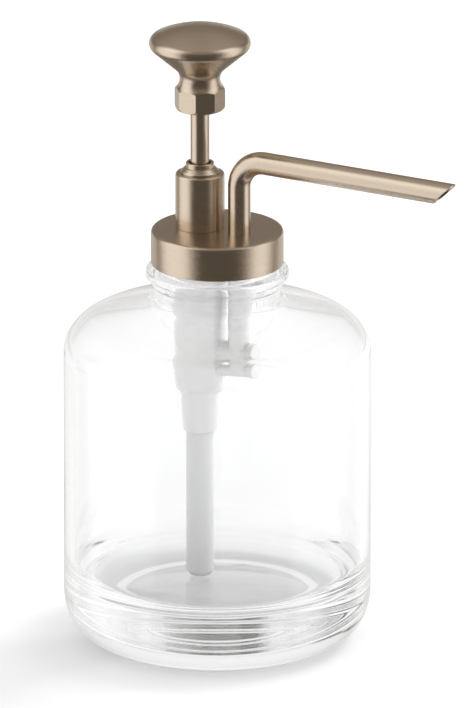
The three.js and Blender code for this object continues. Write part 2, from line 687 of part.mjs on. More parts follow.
// What stands on the plunger's axis.
const plungerAxis = new THREE.Group();
plungerAxis.position.x = PLUNGER_X;
plungerAxis.add(
  piece('guide_sleeve', guideSleeve(), bronze()),
  piece('gland_ring', glandRing(), bronze()),
  piece('rod_wiper', rodWiper(), rubber()),
  piece('plunger_rod', plungerRod(), bronze()),
  piece('knob', knob(), bronze()),
  piece('piston', piston(), whitePlastic()),
  piece('piston_seal', pistonSeal(), rubber()),
  piece('return_spring', returnSpring(), steel()),
  piece('ball_stop', ballStop(), whitePlastic()),
  piece('inlet_ball', valveBall(INLET_BALL_RADIUS, INLET_SEAT_BORE, INLET_SEAT_Z), steel()),
  piece('tailpiece', tailpiece(), whitePlastic()),
  piece('dip_tube', dipTube(), milkyPlastic()),
);

// What stands on the riser's axis.
const riserAxis = new THREE.Group();
riserAxis.position.x = RISER_X;
riserAxis.add(
  piece('spout_nut', spoutNut(), steel()),
  piece('spout_washer', spoutWasher(), rubber()),
  piece('discharge_tube', dischargeTube(), whitePlastic()),
  piece('outlet_ball', valveBall(OUTLET_BALL_RADIUS, OUTLET_SEAT_BORE, OUTLET_SEAT_Z), steel()),
);

const dispenser = new THREE.Group();
dispenser.add(bottleAxis, plungerAxis, riserAxis);

export default dispenser;
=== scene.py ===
import math

import bpy
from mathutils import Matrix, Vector


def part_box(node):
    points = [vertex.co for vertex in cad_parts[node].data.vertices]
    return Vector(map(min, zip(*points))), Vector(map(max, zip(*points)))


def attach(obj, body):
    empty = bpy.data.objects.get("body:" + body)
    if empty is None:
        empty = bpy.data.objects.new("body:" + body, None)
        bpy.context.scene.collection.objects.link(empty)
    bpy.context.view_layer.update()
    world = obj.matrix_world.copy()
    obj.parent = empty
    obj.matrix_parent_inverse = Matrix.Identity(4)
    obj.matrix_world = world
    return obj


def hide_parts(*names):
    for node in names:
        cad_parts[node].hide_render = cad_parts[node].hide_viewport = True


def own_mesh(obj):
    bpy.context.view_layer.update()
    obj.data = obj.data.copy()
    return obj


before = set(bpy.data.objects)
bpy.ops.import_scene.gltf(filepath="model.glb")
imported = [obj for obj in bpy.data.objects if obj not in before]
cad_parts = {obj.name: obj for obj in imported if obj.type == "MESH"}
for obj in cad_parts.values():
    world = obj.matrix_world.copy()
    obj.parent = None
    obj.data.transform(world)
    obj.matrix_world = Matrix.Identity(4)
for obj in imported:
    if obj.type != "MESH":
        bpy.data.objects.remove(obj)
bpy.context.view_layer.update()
MM = 0.001


# ---------------------------------------------------------------- glass bottle
# One piece of clear glass, pressed and blown: a thick flat base with a rounded
# heel, a thin upright wall, a round shoulder, a sloping roof, a waisted neck with
# a round collar, and the plain finish that goes up inside the cap.


def arc(centre_r, centre_z, width, height, start, end, steps):
    """Points of an elliptical arc in an outline, angles in degrees from outwards."""
    points = []
    for step in range(steps + 1):
        angle = math.radians(start + (end - start) * step / steps)
        points.append((centre_r + width * math.cos(angle), centre_z + height * math.sin(angle)))
    return points


def eased(corners, steps=4):
    """An outline of (radius, height, ease) corners, each rounded by its ease."""
    points = []
    for number, (r, z, ease) in enumerate(corners):
        here = Vector((r, z))
        if ease == 0 or number in (0, len(corners) - 1):
            points.append((r, z))
            continue
        before = (Vector(corners[number - 1][:2]) - here).normalized()
        after = (Vector(corners[number + 1][:2]) - here).normalized()
        half = before.angle(after) / 2
        reach = ease / math.tan(half)
        first, last = here + before * reach, here + after * reach
        for step in range(steps + 1):
            share = step / steps
            near = first.lerp(here, share)
            far = here.lerp(last, share)
            points.append(tuple(near.lerp(far, share)))
    return points


def spin_up(name, outline, axis_x=0.0, steps=96, crease=30):
    """A turned piece: its outline in millimetres is drawn corner by corner and spun."""
    if bpy.context.mode != "OBJECT":
        bpy.ops.object.mode_set(mode="OBJECT")
    bpy.ops.object.select_all(action="DESELECT")
    bpy.ops.mesh.primitive_plane_add(size=0.001)
    piece = bpy.context.active_object
    piece.name = name
    bpy.ops.object.mode_set(mode="EDIT")
    bpy.ops.mesh.select_all(action="SELECT")
    bpy.ops.mesh.merge(type="CENTER")
    r, z = outline[0]
    bpy.ops.transform.translate(value=((axis_x + r) * MM, 0, z * MM))
    for next_r, next_z in outline[1:]:
        move = ((next_r - r) * MM, 0, (next_z - z) * MM)
        bpy.ops.mesh.extrude_region_move(TRANSFORM_OT_translate={"value": move})
        r, z = next_r, next_z
    bpy.ops.mesh.select_all(action="SELECT")
    centre = (axis_x * MM, 0, 0)
    bpy.ops.mesh.spin(steps=steps, angle=math.tau, center=centre, axis=(0, 0, 1))
    bpy.ops.mesh.select_all(action="SELECT")
    bpy.ops.mesh.remove_doubles(threshold=2e-6)
    bpy.ops.mesh.normals_make_consistent(inside=False)
    bpy.ops.object.mode_set(mode="OBJECT")
    bpy.ops.object.shade_smooth_by_angle(angle=math.radians(crease))
    return piece


def finish_piece(piece, material, body, node):
    """Dresses a piece, hides the CAD part it stands for and hangs it on the body it moves with."""
    piece.data.materials.clear()
    piece.data.materials.append(material)
    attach(piece, body)
    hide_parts(node)


def clear_glass():
    """Colourless glass with faint ripples; lamps and scattered light pass through."""
    material = bpy.data.materials.new("clear_glass")
    material.use_nodes = True
    tree = material.node_tree
    shader = tree.nodes["Principled BSDF"]
    shader.inputs["Base Color"].default_value = (0.945, 0.948, 0.948, 1)
    shader.inputs["Roughness"].default_value = 0.0
    shader.inputs["IOR"].default_value = 1.5
    shader.inputs["Transmission Weight"].default_value = 1.0
    coordinates = tree.nodes.new("ShaderNodeTexCoord")
    ripples = tree.nodes.new("ShaderNodeTexNoise")
    ripples.inputs["Scale"].default_value = 38
    ripples.inputs["Detail"].default_value = 1
    bump = tree.nodes.new("ShaderNodeBump")
    bump.inputs["Strength"].default_value = 0.05
    bump.inputs["Distance"].default_value = 0.0006
    tree.links.new(coordinates.outputs["Object"], ripples.inputs["Vector"])
    tree.links.new(ripples.outputs["Fac"], bump.inputs["Height"])
    tree.links.new(bump.outputs["Normal"], shader.inputs["Normal"])
    through = tree.nodes.new("ShaderNodeBsdfTransparent")
    level = tree.nodes.new("ShaderNodeSeparateXYZ")
    thickness = tree.nodes.new("ShaderNodeMapRange")
    thickness.inputs["From Min"].default_value = 0.014
    thickness.inputs["From Max"].default_value = 0.024
    thickness.inputs["To Min"].default_value = 0.72
    thickness.inputs["To Max"].default_value = 0.985
    tree.links.new(coordinates.outputs["Object"], level.inputs[0])
    tree.links.new(level.outputs["Z"], thickness.inputs["Value"])
    tree.links.new(thickness.outputs[0], through.inputs["Color"])
    path = tree.nodes.new("ShaderNodeLightPath")
    either = tree.nodes.new("ShaderNodeMath")
    either.operation = "MAXIMUM"
    mix = tree.nodes.new("ShaderNodeMixShader")
    tree.links.new(path.outputs["Is Shadow Ray"], either.inputs[0])
    tree.links.new(path.outputs["Is Diffuse Ray"], either.inputs[1])
    tree.links.new(either.outputs[0], mix.inputs["Fac"])
    tree.links.new(shader.outputs[0], mix.inputs[1])
    tree.links.new(through.outputs[0], mix.inputs[2])
    tree.links.new(mix.outputs[0], tree.nodes["Material Output"].inputs["Surface"])
    return material


bottle_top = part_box("glass_bottle")[1].z / MM
BOTTLE_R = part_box("glass_bottle")[1].y / MM
WALL = 2.5
WALL_TOP = 83.35
HEEL_W, HEEL_H = 12, 14
INNER_CORNER = 9
SHOULDER_W, SHOULDER_H = 12.8, 10.8
ROOF = math.radians(19)
FLOOR = 16.0
NECK_RING_R, NECK_RING_LOW, NECK_RING_TOP = 20.05, 106.0, 107.9
WAIST_OF_NECK_R, WAIST_OF_NECK_Z = 17.8, 103.2
FINISH_R, MOUTH_R = 16.2, 13.5
THROAT_EASE = 9.0
shoulder_r = BOTTLE_R - SHOULDER_W


def shoulder(width, height, steps):
    """The round shoulder, from the upright wall to where the roof's slope takes over."""
    end = math.degrees(math.atan2(height, width * math.tan(ROOF)))
    return arc(shoulder_r, WALL_TOP, width, height, 0, end, steps)


outer_roof = shoulder(SHOULDER_W, SHOULDER_H, 26)
roof_r, roof_z = outer_roof[-1]
inner_roof = shoulder(SHOULDER_W - WALL, SHOULDER_H - WALL - 0.6, 22)
inner_r, inner_z = inner_roof[-1]
inner_roof.reverse()
roof_top_z = roof_z + (roof_r - 18.6) * math.tan(ROOF)
throat_z = inner_z + (inner_r - 14.2) * math.tan(ROOF)
neck_outside = eased([
    (roof_r, roof_z, 0),
    (18.2, roof_top_z + 0.1, 2.6),
    (WAIST_OF_NECK_R, WAIST_OF_NECK_Z, 2.4),
    (NECK_RING_R, NECK_RING_LOW, 0.9),
    (NECK_RING_R, NECK_RING_TOP, 0.8),
    (FINISH_R, NECK_RING_TOP, 0.5),
    (FINISH_R, bottle_top, 0.6),
    (MOUTH_R, bottle_top, 0.6),
    (MOUTH_R, throat_z + 0.2, THROAT_EASE),
    (inner_r, inner_z, 0),
], steps=8)
bottle_outline = [(0, 0.35), (22, 0.3), (27, 0.0), (30, 0.0)]
bottle_outline += arc(BOTTLE_R - HEEL_W, HEEL_H, HEEL_W, HEEL_H, -88, 0, 24)
bottle_outline += outer_roof
bottle_outline += neck_outside[1:-1]
bottle_outline += inner_roof
corner_r = BOTTLE_R - WALL - INNER_CORNER
bottle_outline += arc(corner_r, FLOOR + 9.6, INNER_CORNER, INNER_CORNER, 0, -84, 20)
bottle_outline += [(20, FLOOR + 0.25), (10, FLOOR + 0.05), (0, FLOOR)]
bottle = spin_up("bottle", bottle_outline, steps=160, crease=40)
finish_piece(bottle, clear_glass(), "bottle", "glass_bottle")


# ---------------------------------------------------------------- cap
# Shallow turned metal cup with a rounded top edge. Its deck has two holes, one for
# the guide sleeve's spigot and one for the spout. Brushed round while it turns.


def brushing_group():
    """Fine scratches left by brushing round an axis, from a vector centred on it."""
    group = bpy.data.node_groups.new("turned_brushing", "ShaderNodeTree")
    group.interface.new_socket("Vector", in_out="INPUT", socket_type="NodeSocketVector")
    group.interface.new_socket("Fineness", in_out="INPUT", socket_type="NodeSocketFloat")
    group.interface.new_socket("Scratches", in_out="OUTPUT", socket_type="NodeSocketFloat")
    group.interface.new_socket("Patches", in_out="OUTPUT", socket_type="NodeSocketFloat")
    nodes, links = group.nodes, group.links
    start = nodes.new("NodeGroupInput")
    end = nodes.new("NodeGroupOutput")
    split = nodes.new("ShaderNodeSeparateXYZ")
    flat = nodes.new("ShaderNodeCombineXYZ")
    radius = nodes.new("ShaderNodeVectorMath")
    radius.operation = "LENGTH"
    drift = nodes.new("ShaderNodeMath")
    drift.operation = "MULTIPLY_ADD"
    drift.inputs[1].default_value = 0.03
    across = nodes.new("ShaderNodeMath")
    across.operation = "MULTIPLY"
    across.inputs[1].default_value = 0.03
    rings = nodes.new("ShaderNodeCombineXYZ")
    fine = nodes.new("ShaderNodeTexNoise")
    fine.inputs["Detail"].default_value = 6
    fine.inputs["Roughness"].default_value = 0.7
    patches = nodes.new("ShaderNodeTexNoise")
    patches.inputs["Scale"].default_value = 90
    patches.inputs["Detail"].default_value = 2
    links.new(start.outputs["Vector"], split.inputs[0])
    links.new(split.outputs["X"], flat.inputs["X"])
    links.new(split.outputs["Y"], flat.inputs["Y"])
    links.new(flat.outputs[0], radius.inputs[0])
    links.new(split.outputs["X"], drift.inputs[0])
    links.new(radius.outputs["Value"], drift.inputs[2])
    links.new(split.outputs["Y"], across.inputs[0])
    links.new(drift.outputs[0], rings.inputs["X"])
    links.new(across.outputs[0], rings.inputs["Y"])
    links.new(split.outputs["Z"], rings.inputs["Z"])
    links.new(rings.outputs[0], fine.inputs["Vector"])
    links.new(start.outputs["Fineness"], fine.inputs["Scale"])
    links.new(start.outputs["Vector"], patches.inputs["Vector"])
    links.new(fine.outputs["Fac"], end.inputs["Scratches"])
    links.new(patches.outputs["Fac"], end.inputs["Patches"])
    return group


turned_brushing = brushing_group()


def brushed_bronze(name, centre_x=0.0):
    """Warm grey-brown coating over brushed metal; scratches run round an upright axis."""
    material = bpy.data.materials.new(name)
    material.use_nodes = True
    tree = material.node_tree
    shader = tree.nodes["Principled BSDF"]
    shader.inputs["Metallic"].default_value = 1.0
    coordinates = tree.nodes.new("ShaderNodeTexCoord")
    centred = tree.nodes.new("ShaderNodeMapping")
    centred.vector_type = "TEXTURE"
    centred.inputs["Location"].default_value = (centre_x, 0, 0)
    brushing = tree.nodes.new("ShaderNodeGroup")
    brushing.node_tree = turned_brushing
    brushing.inputs["Fineness"].default_value = 3600
    tint = tree.nodes.new("ShaderNodeMix")
    tint.data_type = "RGBA"
    tint.inputs["A"].default_value = (0.60, 0.495, 0.385, 1)
    tint.inputs["B"].default_value = (0.74, 0.625, 0.50, 1)
    polish = tree.nodes.new("ShaderNodeMapRange")
    polish.inputs["From Min"].default_value = 0.25
    polish.inputs["From Max"].default_value = 0.75
    polish.inputs["To Min"].default_value = 0.18
    polish.inputs["To Max"].default_value = 0.26
    bump = tree.nodes.new("ShaderNodeBump")
    bump.inputs["Strength"].default_value = 0.6
    bump.inputs["Distance"].default_value = 0.0001
    tree.links.new(coordinates.outputs["Object"], centred.inputs["Vector"])
    tree.links.new(centred.outputs[0], brushing.inputs["Vector"])
    tree.links.new(brushing.outputs["Scratches"], tint.inputs["Factor"])
    tree.links.new(tint.outputs["Result"], shader.inputs["Base Color"])
    tree.links.new(brushing.outputs["Scratches"], polish.inputs["Value"])
    tree.links.new(polish.outputs[0], shader.inputs["Roughness"])
    tree.links.new(brushing.outputs["Scratches"], bump.inputs["Height"])
    tree.links.new(bump.outputs["Normal"], shader.inputs["Normal"])
    return material


def drill(piece, radius, x, low, high):
    """Cuts a round hole down through a piece, with a cylinder as the drill."""
    bpy.ops.object.select_all(action="DESELECT")
    bpy.ops.mesh.primitive_cylinder_add(
        vertices=64, radius=radius * MM, depth=(high - low) * MM,
        location=(x * MM, 0, (low + high) / 2 * MM),
    )
    bit = bpy.context.active_object
    cut = piece.modifiers.new("drill", "BOOLEAN")
    cut.operation = "DIFFERENCE"
    cut.solver = "EXACT"
    cut.object = bit
    bpy.context.view_layer.objects.active = piece
    bpy.ops.object.modifier_apply(modifier=cut.name)
    bpy.data.objects.remove(bit)


PLUNGER_X = (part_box("plunger_rod")[0].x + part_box("plunger_rod")[1].x) / 2 / MM
RISER_X = (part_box("spout_nut")[0].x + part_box("spout_nut")[1].x) / 2 / MM
SPIGOT_R = 5.9
SPOUT_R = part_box("spout_tube")[1].y / MM
cap_low, cap_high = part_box("cap_shell")
CAP_R = cap_high.y / MM
CAP_SIDE, CAP_DECK = 0.8, 1.6
cap_bottom, cap_top = cap_low.z / MM, cap_high.z / MM
cap_outline = eased([
    (0, cap_top - CAP_DECK, 0),
    (CAP_R - CAP_SIDE, cap_top - CAP_DECK, 0.4),
    (CAP_R - CAP_SIDE, cap_bottom, 0.15),
    (CAP_R, cap_bottom, 0.25),
    (CAP_R, cap_top, 1.1),
    (0, cap_top, 0),
], steps=7)
cap = spin_up("cap", cap_outline, steps=160)
drill(cap, SPIGOT_R + 0.1, PLUNGER_X, cap_bottom, cap_top + 5)
drill(cap, SPOUT_R + 0.04, RISER_X, cap_bottom, cap_top + 5)
bpy.context.view_layer.objects.active = cap
cap.select_set(True)
bpy.ops.object.shade_smooth_by_angle(angle=math.radians(30))
bronze_on_axis = brushed_bronze("bronze_cap")
finish_piece(cap, bronze_on_axis, "head", "cap_shell")


# ---------------------------------------------------------------- guide sleeve
# Tall turned sleeve beside the spout. Its spigot passes down through the cap and
# screws into the pump; its narrow bore guides the rod.

sleeve_low, sleeve_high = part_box("guide_sleeve")
SLEEVE_R = (sleeve_high.x - sleeve_low.x) / 2 / MM
sleeve_top = sleeve_high.z / MM
sleeve_bottom = sleeve_low.z / MM
ROD_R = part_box("plunger_rod")[1].y / MM
RING_SEAT_R, RING_SEAT_Z = 4.8, 128
sleeve_outline = eased([
    (ROD_R + 0.05, sleeve_bottom, 0),
    (SPIGOT_R, sleeve_bottom, 0.3),
    (SPIGOT_R, cap_top + 0.02, 0),
    (SLEEVE_R, cap_top + 0.02, 0.12),
    (SLEEVE_R, sleeve_top, 0.9),
    (RING_SEAT_R, sleeve_top, 0.1),
    (RING_SEAT_R, RING_SEAT_Z, 0),
    (ROD_R + 0.05, RING_SEAT_Z, 0),
    (ROD_R + 0.05, sleeve_bottom, 0),
], steps=7)
sleeve = spin_up("guide_sleeve_turned", sleeve_outline, PLUNGER_X, steps=112)
bronze_on_plunger = brushed_bronze("bronze_plunger", PLUNGER_X * MM)
finish_piece(sleeve, bronze_on_plunger, "head", "guide_sleeve")


# ---------------------------------------------------------------- gland ring
# Stepped ring that closes the sleeve's top: a low cone, a step and a raised lip,
# with a dark gap left round the rod.

ring_low, ring_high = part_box("gland_ring")
ring_bottom, ring_top = ring_low.z / MM, ring_high.z / MM
RING_BORE_R, RING_FOOT_R, CONE_R, LIP_R = 3.15, 4.5, 5.4, 3.95
ring_outline = eased([
    (RING_BORE_R, ring_bottom, 0),
    (RING_FOOT_R, ring_bottom, 0.1),
    (RING_FOOT_R, sleeve_top + 0.03, 0),
    (CONE_R, sleeve_top + 0.03, 0),
    (CONE_R, sleeve_top + 0.45, 0.25),
    (LIP_R + 0.4, sleeve_top + 1.5, 0.4),
    (LIP_R, sleeve_top + 1.6, 0.1),
    (LIP_R, ring_top, 0.35),
    (RING_BORE_R, ring_top, 0.25),
    (RING_BORE_R, ring_bottom, 0),
], steps=6)
gland = spin_up("gland_ring_turned", ring_outline, PLUNGER_X, steps=96, crease=40)
finish_piece(gland, bronze_on_plunger, "head", "gland_ring")


# ---------------------------------------------------------------- rod
# Straight drawn rod, screwed into the knob above and the piston below.

rod_low, rod_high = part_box("plunger_rod")
rod_outline = eased([
    (0, rod_low.z / MM, 0),
    (ROD_R, rod_low.z / MM, 0.4),
    (ROD_R, rod_high.z / MM, 0.4),
    (0, rod_high.z / MM, 0),
], steps=5)
rod = spin_up("rod", rod_outline, PLUNGER_X, steps=72)
finish_piece(rod, bronze_on_plunger, "plunger", "plunger_rod")


# ---------------------------------------------------------------- knob
# Mushroom knob turned from one bar: low dome, round rim, conical underside and a
# waist that flares into a collar. The collar is then milled to eight flats.

knob_low, knob_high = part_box("knob")
KNOB_R = 14.2
knob_top, knob_bottom = knob_high.z / MM, knob_low.z / MM
DOME, RIM = 30.8, 2.3
UNDERSIDE = 42
WAIST_R, WAIST_CURVE, WAIST_Z = 5.7, 3.9, 162.65
COLLAR_R, COLLAR_TOP = 7.15, 159.6
SOCKET_TOP = 163.0
rim_r = KNOB_R - RIM
dome_z = knob_top - DOME
rim_z = dome_z + math.sqrt((DOME - RIM) ** 2 - rim_r**2)
dome_end = math.degrees(math.atan2(rim_z - dome_z, rim_r))
knob_outline = [(0, SOCKET_TOP), (ROD_R + 0.02, SOCKET_TOP), (ROD_R + 0.02, knob_bottom + 0.3)]
knob_outline += [(ROD_R + 0.3, knob_bottom)]
knob_outline += arc(COLLAR_R - 1.4, knob_bottom + 1.4, 1.4, 1.4, -90, 0, 8)
knob_outline += [(COLLAR_R, COLLAR_TOP)]
knob_outline += arc(WAIST_R + WAIST_CURVE, WAIST_Z, WAIST_CURVE, WAIST_CURVE, 226, 90 + UNDERSIDE, 18)
knob_outline += arc(rim_r, rim_z, RIM, RIM, UNDERSIDE - 90, dome_end, 16)
knob_outline += arc(0, dome_z, DOME, DOME, dome_end, 90, 22)[1:]
knob = spin_up("knob_turned", knob_outline, PLUNGER_X, steps=144, crease=40)

# The milling: an eight-sided sleeve of waste round the collar is cut away.
bpy.ops.object.select_all(action="DESELECT")
waist_top = WAIST_Z - 1
FLATS, FLATS_TURN, WASTE_R = 8, math.radians(19.3), 11
bpy.ops.mesh.primitive_cylinder_add(
    vertices=FLATS, radius=COLLAR_R * MM, depth=(waist_top - knob_bottom + 2) * MM,
    location=(PLUNGER_X * MM, 0, (waist_top + knob_bottom - 2) / 2 * MM),
    rotation=(0, 0, FLATS_TURN),
)
core = bpy.context.active_object
bpy.ops.mesh.primitive_cylinder_add(
    vertices=64, radius=WASTE_R * MM, depth=(waist_top - knob_bottom + 2.2) * MM,
    location=(PLUNGER_X * MM, 0, (waist_top + knob_bottom - 2.2) / 2 * MM),
)
waste = bpy.context.active_object
hollow = waste.modifiers.new("hollow", "BOOLEAN")
hollow.operation = "DIFFERENCE"
hollow.solver = "EXACT"
hollow.object = core
bpy.ops.object.modifier_apply(modifier="hollow")
milled = knob.modifiers.new("milled", "BOOLEAN")
milled.operation = "DIFFERENCE"
milled.solver = "EXACT"
milled.object = waste
bpy.context.view_layer.objects.active = knob
bpy.ops.object.modifier_apply(modifier="milled")
bpy.data.objects.remove(core)
bpy.data.objects.remove(waste)
knob.select_set(True)
bpy.ops.object.shade_smooth_by_angle(angle=math.radians(20))
finish_piece(knob, bronze_on_plunger, "plunger", "knob")


# ---------------------------------------------------------------- spout
# Thin-walled tube, bent once from upright to level and cut off slanting. It is
# brushed along its length.


def tube_bronze():
    """The same warm coating, with the scratches along the tube from its own UV map."""
    material = bpy.data.materials.new("bronze_spout")
    material.use_nodes = True
    tree = material.node_tree
    shader = tree.nodes["Principled BSDF"]
    shader.inputs["Metallic"].default_value = 1.0
    along = tree.nodes.new("ShaderNodeUVMap")
    along.uv_map = "along"
    stretch = tree.nodes.new("ShaderNodeMapping")
    stretch.inputs["Scale"].default_value = (0.35, 24, 1)
    scratches = tree.nodes.new("ShaderNodeTexNoise")
    scratches.inputs["Scale"].default_value = 4
    scratches.inputs["Detail"].default_value = 6
    scratches.inputs["Roughness"].default_value = 0.7
    tint = tree.nodes.new("ShaderNodeMix")
    tint.data_type = "RGBA"
    tint.inputs["A"].default_value = (0.60, 0.495, 0.385, 1)
    tint.inputs["B"].default_value = (0.74, 0.625, 0.50, 1)
    polish = tree.nodes.new("ShaderNodeMapRange")
    polish.inputs["From Min"].default_value = 0.25
    polish.inputs["From Max"].default_value = 0.75
    polish.inputs["To Min"].default_value = 0.2
    polish.inputs["To Max"].default_value = 0.3
    bump = tree.nodes.new("ShaderNodeBump")
    bump.inputs["Strength"].default_value = 0.15
    bump.inputs["Distance"].default_value = 0.0001
    tree.links.new(along.outputs[0], stretch.inputs["Vector"])
    tree.links.new(stretch.outputs[0], scratches.inputs["Vector"])
    tree.links.new(scratches.outputs["Fac"], tint.inputs["Factor"])
    tree.links.new(tint.outputs["Result"], shader.inputs["Base Color"])
    tree.links.new(scratches.outputs["Fac"], polish.inputs["Value"])
    tree.links.new(polish.outputs[0], shader.inputs["Roughness"])
    tree.links.new(scratches.outputs["Fac"], bump.inputs["Height"])
    tree.links.new(bump.outputs["Normal"], shader.inputs["Normal"])
    return material


spout_low, spout_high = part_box("spout_tube")
spout_foot = spout_low.z / MM
spout_tip = spout_high.x / MM
SPOUT_LEVEL = spout_high.z / MM - SPOUT_R
BEND = 8.0
SPOUT_WALL = 0.6
AROUND = 48
BEND_STEPS = 24
bpy.ops.object.select_all(action="DESELECT")
bpy.ops.mesh.primitive_circle_add(
    vertices=AROUND, radius=SPOUT_R * MM, fill_type="NOTHING",
    location=(RISER_X * MM, 0, spout_foot * MM),
)
spout = bpy.context.active_object
spout.name = "spout"
bpy.ops.object.mode_set(mode="EDIT")
bpy.ops.mesh.select_all(action="SELECT")
rise = (SPOUT_LEVEL - BEND - spout_foot) * MM
for length in (rise * 0.5, rise * 0.5):
    bpy.ops.mesh.extrude_region_move(TRANSFORM_OT_translate={"value": (0, 0, length)})
bpy.ops.mesh.spin(
    steps=BEND_STEPS, angle=-math.pi / 2,
    center=((RISER_X + BEND) * MM, 0, (SPOUT_LEVEL - BEND) * MM), axis=(0, 1, 0),
)
run = (spout_tip + SPOUT_R - RISER_X - BEND) * MM
for length in (run * 0.25,) * 4:
    bpy.ops.mesh.extrude_region_move(TRANSFORM_OT_translate={"value": (length, 0, 0)})
bpy.ops.mesh.select_all(action="SELECT")
bpy.ops.mesh.remove_doubles(threshold=2e-6)
bpy.ops.mesh.normals_make_consistent(inside=False)
bpy.ops.object.mode_set(mode="OBJECT")

# The end is sawn off slanting, and then the tube is given its wall.
bpy.ops.object.mode_set(mode="EDIT")
bpy.ops.mesh.select_all(action="SELECT")
MITRE = math.radians(46)
bpy.ops.mesh.bisect(
    plane_co=(spout_tip * MM, 0, (SPOUT_LEVEL + SPOUT_R) * MM),
    plane_no=(math.sin(MITRE), 0, -math.cos(MITRE)),
    clear_outer=True, clear_inner=False,
)
bpy.ops.object.mode_set(mode="OBJECT")


def lay_tube_map(piece):
    """Maps a bent tube: u is the way along it in centimetres, v the turn round it."""
    layer = piece.data.uv_layers.new(name="along")
    bend_x, bend_z = (RISER_X + BEND) * MM, (SPOUT_LEVEL - BEND) * MM
    arc_length = BEND * MM * math.pi / 2
    for loop in piece.data.loops:
        point = piece.data.vertices[loop.vertex_index].co
        if point.z < bend_z and point.x < bend_x:
            along, side = point.z - bend_z, point.x - RISER_X * MM
        elif point.x > bend_x:
            along, side = arc_length + point.x - bend_x, point.z - SPOUT_LEVEL * MM
        else:
            turn = math.atan2(point.z - bend_z, bend_x - point.x)
            along = BEND * MM * turn
            side = math.hypot(point.z - bend_z, bend_x - point.x) - BEND * MM
        around = math.atan2(abs(point.y), side) / math.pi
        layer.data[loop.index].uv = (along * 100, around + (point.y > 0) * 0.001)


wall = spout.modifiers.new("wall", "SOLIDIFY")
wall.thickness = SPOUT_WALL * MM
wall.offset = -1
bpy.context.view_layer.objects.active = spout
spout.select_set(True)
bpy.ops.object.modifier_apply(modifier="wall")
lay_tube_map(spout)
bpy.ops.object.shade_smooth_by_angle(angle=math.radians(35))
finish_piece(spout, tube_bronze(), "head", "spout_tube")


# ---------------------------------------------------------------- pump barrel
# Injection-moulded white barrel in two steps with a flat deck on top. A short arm
# with a raised boss goes out towards the spout's side.


def moulded_plastic(name, colour, roughness, scatter, slick=0.0):
    """Opaque or milky moulded plastic with a faint uneven gloss."""
    material = bpy.data.materials.new(name)
    material.use_nodes = True
    tree = material.node_tree
    shader = tree.nodes["Principled BSDF"]
    shader.inputs["Subsurface Weight"].default_value = scatter
    shader.inputs["Subsurface Radius"].default_value = (0.004, 0.004, 0.004)
    shader.inputs["Coat Weight"].default_value = slick
    shader.inputs["Coat Roughness"].default_value = 0.06
    shader.inputs["Coat IOR"].default_value = 2.0
    shader.inputs["IOR"].default_value = 1.8
    coordinates = tree.nodes.new("ShaderNodeTexCoord")
    cloud = tree.nodes.new("ShaderNodeTexNoise")
    cloud.inputs["Scale"].default_value = 120
    cloud.inputs["Detail"].default_value = 3
    tint = tree.nodes.new("ShaderNodeMix")
    tint.data_type = "RGBA"
    tint.inputs["A"].default_value = (*[0.96 * part for part in colour], 1)
    tint.inputs["B"].default_value = (*colour, 1)
    gloss = tree.nodes.new("ShaderNodeMapRange")
    gloss.inputs["To Min"].default_value = roughness * 0.8
    gloss.inputs["To Max"].default_value = roughness * 1.2
    bump = tree.nodes.new("ShaderNodeBump")
    bump.inputs["Strength"].default_value = 0.1
    bump.inputs["Distance"].default_value = 0.0001
    tree.links.new(coordinates.outputs["Object"], cloud.inputs["Vector"])
    tree.links.new(cloud.outputs["Fac"], tint.inputs["Factor"])
    tree.links.new(tint.outputs["Result"], shader.inputs["Base Color"])
    tree.links.new(cloud.outputs["Fac"], gloss.inputs["Value"])
    tree.links.new(gloss.outputs[0], shader.inputs["Roughness"])
    tree.links.new(cloud.outputs["Fac"], bump.inputs["Height"])
    tree.links.new(bump.outputs["Normal"], shader.inputs["Normal"])
    return material


def join_pieces(first, other):
    """Welds another closed piece onto the first as one moulding."""
    weld = first.modifiers.new("weld", "BOOLEAN")
    weld.operation = "UNION"
    weld.solver = "EXACT"
    weld.object = other
    bpy.context.view_layer.objects.active = first
    bpy.ops.object.modifier_apply(modifier=weld.name)
    bpy.data.objects.remove(other)


def smooth(piece, crease=30):
    """Shades a piece smooth, with sharp edges where it turns more than the crease."""
    bpy.ops.object.select_all(action="DESELECT")
    piece.select_set(True)
    bpy.context.view_layer.objects.active = piece
    bpy.ops.object.shade_smooth_by_angle(angle=math.radians(crease))


white_plastic = moulded_plastic("white_plastic", (0.9, 0.9, 0.9), 0.12, 0.0, 1.0)
body_low, body_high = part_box("pump_housing")
DECK_R = 16.9
BARREL_R, BARREL_BORE = 7.5, 5.2
LOWER_R, TAPER_TOP = 6.75, 92.0
deck_top = body_high.z / MM
body_bottom = body_low.z / MM
barrel_outline = eased([
    (BARREL_BORE, body_bottom, 0),
    (LOWER_R - 0.5, body_bottom, 0.3),
    (LOWER_R, body_bottom + 1.4, 0.8),
    (BARREL_R, TAPER_TOP, 2),
    (BARREL_R, deck_top - 0.9, 0.4),
    (BARREL_R, deck_top, 0),
    (BARREL_BORE, deck_top, 0),
    (BARREL_BORE, body_bottom, 0),
], steps=5)
housing = spin_up("pump_barrel", barrel_outline, PLUNGER_X, steps=96)

# Bottom and top of the deck, with rounded edges.
DECK_BOTTOM = 116.6
deck = spin_up("deck", eased([
    (0, DECK_BOTTOM, 0),
    (DECK_R, DECK_BOTTOM, 0.2),
    (DECK_R, deck_top, 0.2),
    (0, deck_top, 0),
], steps=4), steps=96)
drill(deck, SPIGOT_R + 0.1, PLUNGER_X, DECK_BOTTOM - 1, deck_top + 1)
drill(deck, SPOUT_R + 0.1, RISER_X, DECK_BOTTOM - 1, deck_top + 1)

